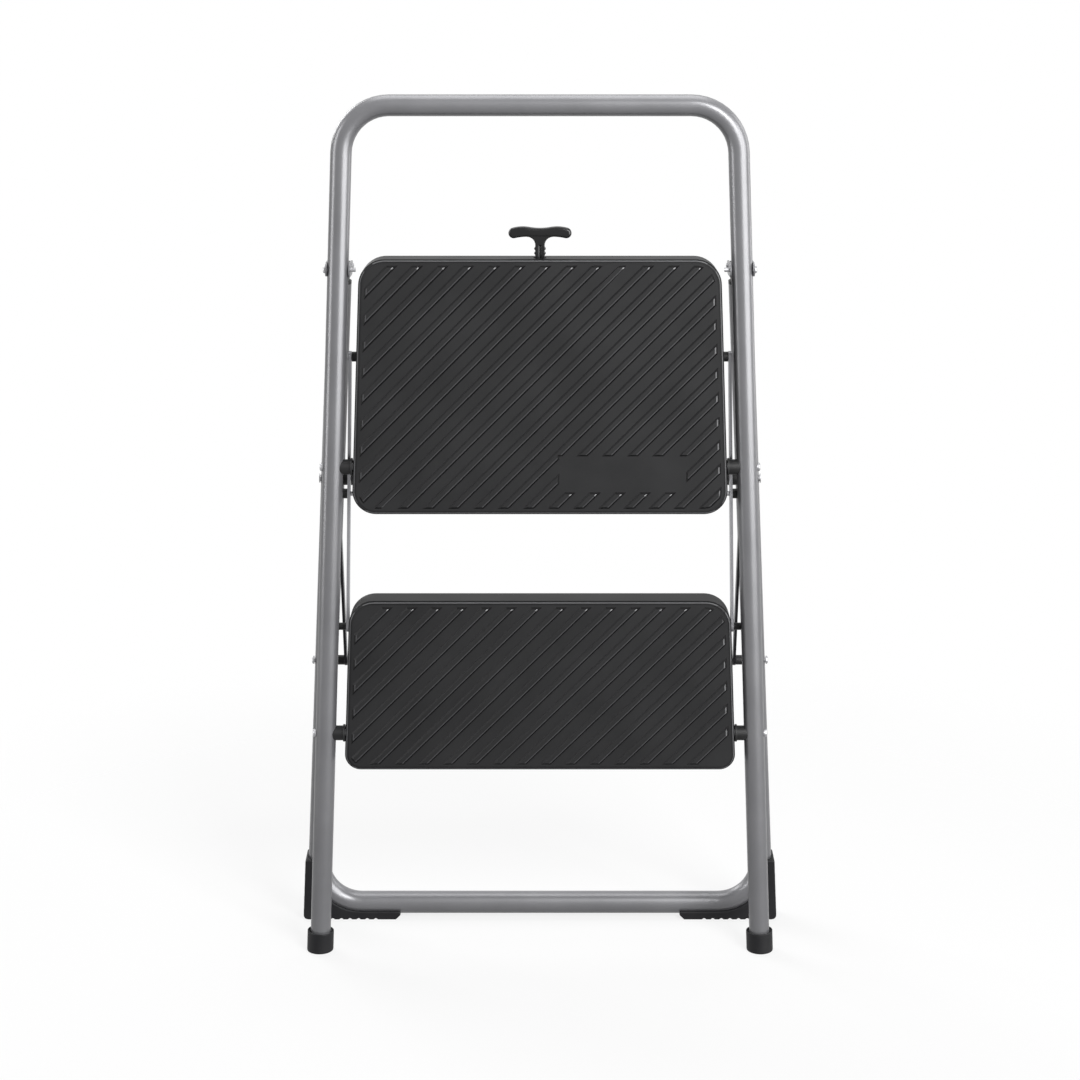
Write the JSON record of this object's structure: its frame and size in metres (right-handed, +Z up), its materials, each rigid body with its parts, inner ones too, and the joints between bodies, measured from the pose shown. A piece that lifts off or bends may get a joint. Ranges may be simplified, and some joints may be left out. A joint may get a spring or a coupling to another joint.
{
  "type": "folding step stool",
  "caption": "Folding step stool of bent round tube with ribbed moulded treads, a tall hand rail and a T-handle latch, shown folded and standing on its feet.",
  "frame": {"origin": "on the floor, in the middle of the folded stool's footprint", "axes": "+X to the right across the stool, -Y out of the treads towards the user, +Z up"},
  "size_m": [0.5432, 0.1312, 0.937],
  "materials": {
    "satin_tube": "satin powder coat on steel tube",
    "black_moulding": "fine moulded grain",
    "black_rubber": "matt, moulded",
    "black_grip": "smooth moulded",
    "zinc_steel": "zinc plated",
    "dark_steel": "dark grey paint"
  },
  "bodies": {
    "front": {"front_frame": "satin_tube", "front_cap_left": "black_rubber", "front_cap_right": "black_rubber", "hinge_bracket_left": "satin_tube", "hinge_bracket_right": "satin_tube", "top_pivot_bush_left": "black_moulding", "top_pivot_bush_right": "black_moulding", "lower_pivot_bush_left": "black_moulding", "lower_pivot_bush_right": "black_moulding", "bracket_rivets": "zinc_steel", "rear_hinge_pins": "zinc_steel", "top_pivot_rivets": "zinc_steel", "lower_pivot_rivets": "zinc_steel"},
    "rear": {"rear_frame": "satin_tube", "lock_rod": "zinc_steel", "stay_rivets": "zinc_steel", "rear_plug_left": "black_moulding", "rear_plug_right": "black_moulding", "rear_shoe_left": "black_rubber", "rear_shoe_right": "black_rubber", "rod_sleeve_left": "black_moulding", "rod_sleeve_right": "black_moulding", "stay_spacer_left": "black_moulding", "stay_spacer_right": "black_moulding"},
    "upper_tread": {"top_step": "black_moulding", "upper_link_pins": "zinc_steel", "latch_guide": "black_moulding", "guide_screws": "zinc_steel", "upper_link_spacer_left": "black_moulding", "upper_link_spacer_right": "black_moulding"},
    "lower_tread": {"lower_step": "black_moulding", "lower_link_pins": "zinc_steel", "lower_link_bush_left": "black_moulding", "lower_link_bush_right": "black_moulding"},
    "latch": {"t_handle": "black_grip", "latch_hook": "zinc_steel", "hook_rivets": "zinc_steel"},
    "left_link": {"step_link_left": "zinc_steel", "link_stay_rivet_left": "zinc_steel", "link_stay_spacer_left": "black_moulding"},
    "left_stay_arm": {"stay_left": "dark_steel"},
    "right_link": {"step_link_right": "zinc_steel", "link_stay_rivet_right": "zinc_steel", "link_stay_spacer_right": "black_moulding"},
    "right_stay_arm": {"stay_right": "dark_steel"}
  },
  "joints": [
    {"name": "fold", "type": "hinge", "parent": "front", "child": "upper_tread", "pos_m": [0, -0.051, 0.5476], "axis": [-1, 0, 0], "range_deg": [0, 70.5]},
    {"name": "lower_step_fold", "type": "hinge", "parent": "front", "child": "lower_tread", "pos_m": [0, -0.051, 0.2523], "axis": [-1, 0, 0], "range_deg": [0, 70.5]},
    {"name": "rear_hinge", "type": "hinge", "parent": "front", "child": "rear", "pos_m": [0, -0.024, 0.757], "axis": [1, 0, 0], "range_deg": [0, 36]},
    {"name": "left_link_pivot", "type": "hinge", "parent": "upper_tread", "child": "left_link", "pos_m": [-0.20256, -0.0335, 0.663], "axis": [1, 0, 0], "range_deg": [0, 70.5]},
    {"name": "left_stay_pivot", "type": "hinge", "parent": "rear", "child": "left_stay_arm", "pos_m": [-0.21666, 0.01939, 0.31452], "axis": [1, 0, 0], "range_deg": [0, 40.1]},
    {"name": "right_link_pivot", "type": "hinge", "parent": "upper_tread", "child": "right_link", "pos_m": [0.20256, -0.0335, 0.663], "axis": [1, 0, 0], "range_deg": [0, 70.5]},
    {"name": "right_stay_pivot", "type": "hinge", "parent": "rear", "child": "right_stay_arm", "pos_m": [0.21666, 0.01939, 0.31452], "axis": [1, 0, 0], "range_deg": [0, 40.1]},
    {"name": "latch_slide", "type": "slide", "parent": "upper_tread", "child": "latch", "axis": [0, 0, 1], "range_m": [-0.012, 0]}
  ],
  "couplings": [
    {"joint": "lower_step_fold", "follows": "fold", "ratio": 1},
    {"joint": "rear_hinge", "follows": "fold", "ratio": 0.51005},
    {"joint": "left_link_pivot", "follows": "fold", "ratio": 1},
    {"joint": "left_stay_pivot", "follows": "fold", "ratio": 0.56748},
    {"joint": "right_link_pivot", "follows": "fold", "ratio": 1},
    {"joint": "right_stay_pivot", "follows": "fold", "ratio": 0.56748}
  ]
}
